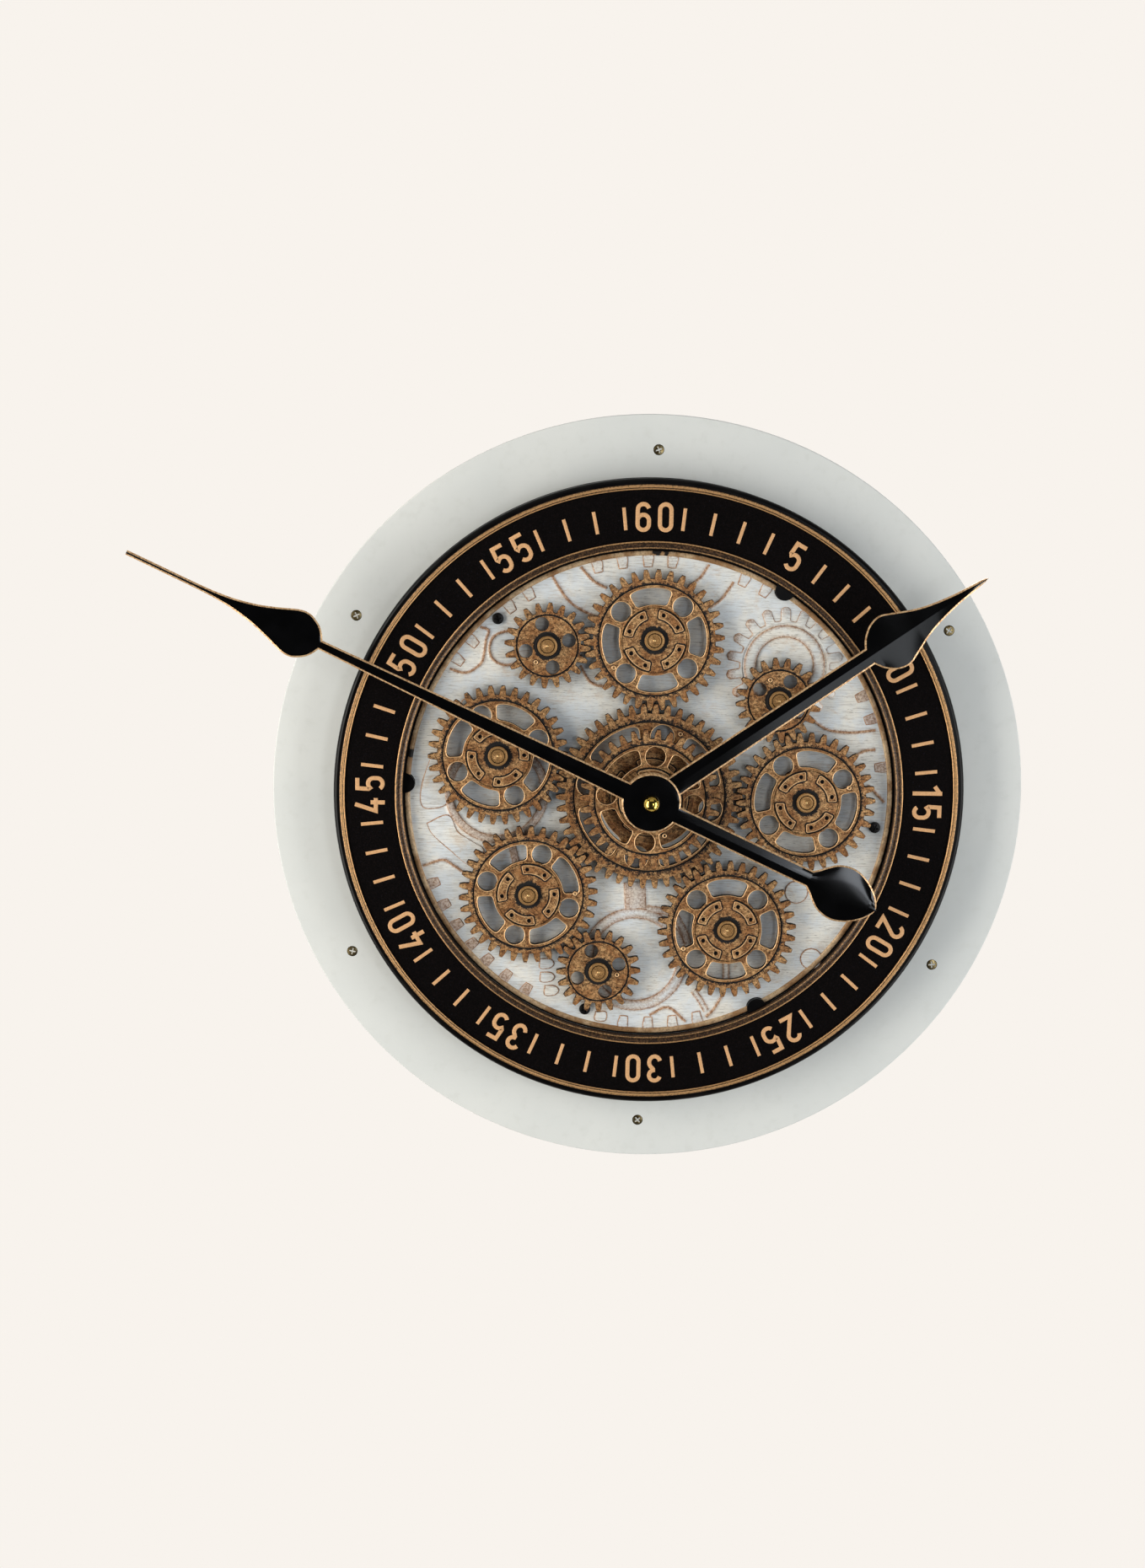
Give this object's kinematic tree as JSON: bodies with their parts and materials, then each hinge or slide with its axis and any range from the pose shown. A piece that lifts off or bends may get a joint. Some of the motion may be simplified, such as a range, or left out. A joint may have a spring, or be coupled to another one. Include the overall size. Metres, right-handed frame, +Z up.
{
  "type": "gear wall clock",
  "caption": "Round wall clock with an open train of copper gears over a pale relief plate, a raised minute ring, long black spade hands and a quartz movement behind.",
  "frame": {"origin": "on the wall plane, behind the shaft of the hands", "axes": "+Z up, +X to the right as seen from the front, +Y into the wall; the clock faces -Y"},
  "size_m": [0.4475, 0.0615, 0.382],
  "materials": {
    "stained_wood": "dark stain, satin",
    "painted_board": "pale warm grey paint, matt",
    "fibreboard": "bare fibreboard, matt",
    "brass": "turned brass, slightly worn",
    "steel": "zinc plated",
    "black_steel": "black oxide",
    "black_enamel": "satin black enamel",
    "bronze": "dark aged bronze with rubbed edges",
    "pale_relief": "pale grey wash, edges rubbed with copper",
    "copper": "aged copper",
    "copper_gear": "aged copper leaf, dark wash in the grooves",
    "hand_black": "gloss black lacquer with gilt edges",
    "black_plastic": "moulded, matt",
    "white_plastic": "moulded",
    "cell": "plain sleeve",
    "green_laminate": "coated laminate"
  },
  "bodies": {
    "case": {"backing_ring": "stained_wood", "mounting_plate": "painted_board", "plate_screws": "brass", "rear_panel": "fibreboard", "rear_panel_screws": "steel", "hanger_plate": "steel", "hanger_screws": "steel", "case_drum": "black_enamel", "outer_bezel": "bronze", "dial_ring": "black_enamel", "inner_bezel": "bronze", "dial_posts": "black_enamel", "relief_plate": "pale_relief", "relief_screws": "black_steel", "gear_axles": "copper", "centre_bush": "brass", "movement_case": "black_plastic", "movement_cover": "black_plastic", "movement_battery": "cell", "movement_contacts": "steel", "circuit_board": "green_laminate", "motor_coil": "copper", "movement_stem": "brass", "stem_nut": "brass", "stem_washer": "steel", "drive_motor": "steel", "drive_gearbox": "black_plastic", "motor_screws": "black_steel", "battery_box": "black_plastic", "drive_batteries": "cell", "drive_contacts": "steel", "switch_body": "black_plastic"},
    "centre_gears": {"gear_centre_large": "copper_gear", "gear_centre_front": "copper_gear", "centre_collar": "black_steel"},
    "top_gear": {"gear_top": "copper_gear"},
    "left_gear": {"gear_left": "copper_gear"},
    "lower_left_gear": {"gear_lower_left": "copper_gear"},
    "lower_right_gear": {"gear_lower_right": "copper_gear", "drive_shaft": "copper"},
    "right_gear": {"gear_right": "copper_gear"},
    "upper_left_pinion": {"pinion_upper_left": "copper_gear"},
    "bottom_pinion": {"pinion_bottom": "copper_gear"},
    "upper_right_pinion": {"pinion_upper_right": "copper_gear"},
    "hour": {"hour_hand": "hand_black", "hour_collet": "hand_black", "hour_tube": "white_plastic"},
    "minute": {"minute_hand": "hand_black", "minute_collet": "hand_black", "hand_nut": "brass", "minute_shaft": "brass"},
    "motion": {"motion_wheel": "white_plastic"},
    "knob": {"setting_knob": "white_plastic"},
    "slider": {"switch_slider": "white_plastic"},
    "lid": {"battery_lid": "black_plastic"}
  },
  "joints": [
    {"name": "centre_gears_turn", "type": "hinge", "parent": "case", "child": "centre_gears", "pos_m": [0, -0.0325, 0], "axis": [0, 1, 0], "continuous": true},
    {"name": "top_gear_turn", "type": "hinge", "parent": "case", "child": "top_gear", "pos_m": [0.00096, -0.0325, 0.07859], "axis": [0, 1, 0], "continuous": true},
    {"name": "left_gear_turn", "type": "hinge", "parent": "case", "child": "left_gear", "pos_m": [-0.07603, -0.0325, 0.01995], "axis": [0, 1, 0], "continuous": true},
    {"name": "lower_left_gear_turn", "type": "hinge", "parent": "case", "child": "lower_left_gear", "pos_m": [-0.06012, -0.0325, -0.05063], "axis": [0, 1, 0], "continuous": true},
    {"name": "lower_right_gear_turn", "type": "hinge", "parent": "case", "child": "lower_right_gear", "pos_m": [0.04048, -0.0325, -0.06737], "axis": [0, 1, 0], "continuous": true},
    {"name": "right_gear_turn", "type": "hinge", "parent": "case", "child": "right_gear", "pos_m": [0.07858, -0.0325, -0.00165], "axis": [0, 1, 0], "continuous": true},
    {"name": "upper_left_pinion_turn", "type": "hinge", "parent": "case", "child": "upper_left_pinion", "pos_m": [-0.05205, -0.0325, 0.07517], "axis": [0, 1, 0], "continuous": true},
    {"name": "bottom_pinion_turn", "type": "hinge", "parent": "case", "child": "bottom_pinion", "pos_m": [-0.02417, -0.0325, -0.08973], "axis": [0, 1, 0], "continuous": true},
    {"name": "upper_right_pinion_turn", "type": "hinge", "parent": "case", "child": "upper_right_pinion", "pos_m": [0.06359, -0.0325, 0.04931], "axis": [0, 1, 0], "continuous": true},
    {"name": "minute_hand_turn", "type": "hinge", "parent": "case", "child": "minute", "pos_m": [0, -0.0546, 0], "axis": [0, 1, 0], "continuous": true},
    {"name": "hour_hand_turn", "type": "hinge", "parent": "case", "child": "hour", "pos_m": [0, -0.0504, 0], "axis": [0, 1, 0], "continuous": true},
    {"name": "motion_wheel_turn", "type": "hinge", "parent": "case", "child": "motion", "pos_m": [-0.0101, -0.012, 0], "axis": [0, 1, 0], "continuous": true},
    {"name": "setting_knob_turn", "type": "hinge", "parent": "case", "child": "knob", "pos_m": [-0.01724, -0.0085, -0.00714], "axis": [0, 1, 0], "continuous": true},
    {"name": "switch_slide", "type": "slide", "parent": "case", "child": "slider", "axis": [1, 0, 0], "range_m": [0, 0.003]},
    {"name": "battery_lid_lift", "type": "slide", "parent": "case", "child": "lid", "axis": [0, 1, 0], "range_m": [0, 0.02]}
  ],
  "couplings": [
    {"joint": "top_gear_turn", "follows": "centre_gears_turn", "ratio": -1.3529},
    {"joint": "left_gear_turn", "follows": "centre_gears_turn", "ratio": -1.3529},
    {"joint": "lower_left_gear_turn", "follows": "centre_gears_turn", "ratio": -1.3529},
    {"joint": "lower_right_gear_turn", "follows": "centre_gears_turn", "ratio": -1.3529},
    {"joint": "right_gear_turn", "follows": "centre_gears_turn", "ratio": -1.3529},
    {"joint": "upper_left_pinion_turn", "follows": "centre_gears_turn", "ratio": 2.3},
    {"joint": "bottom_pinion_turn", "follows": "centre_gears_turn", "ratio": 2.3},
    {"joint": "upper_right_pinion_turn", "follows": "centre_gears_turn", "ratio": 2.3},
    {"joint": "hour_hand_turn", "follows": "minute_hand_turn", "ratio": 0.083333},
    {"joint": "motion_wheel_turn", "follows": "minute_hand_turn", "ratio": -0.33333},
    {"joint": "setting_knob_turn", "follows": "minute_hand_turn", "ratio": 1}
  ]
}
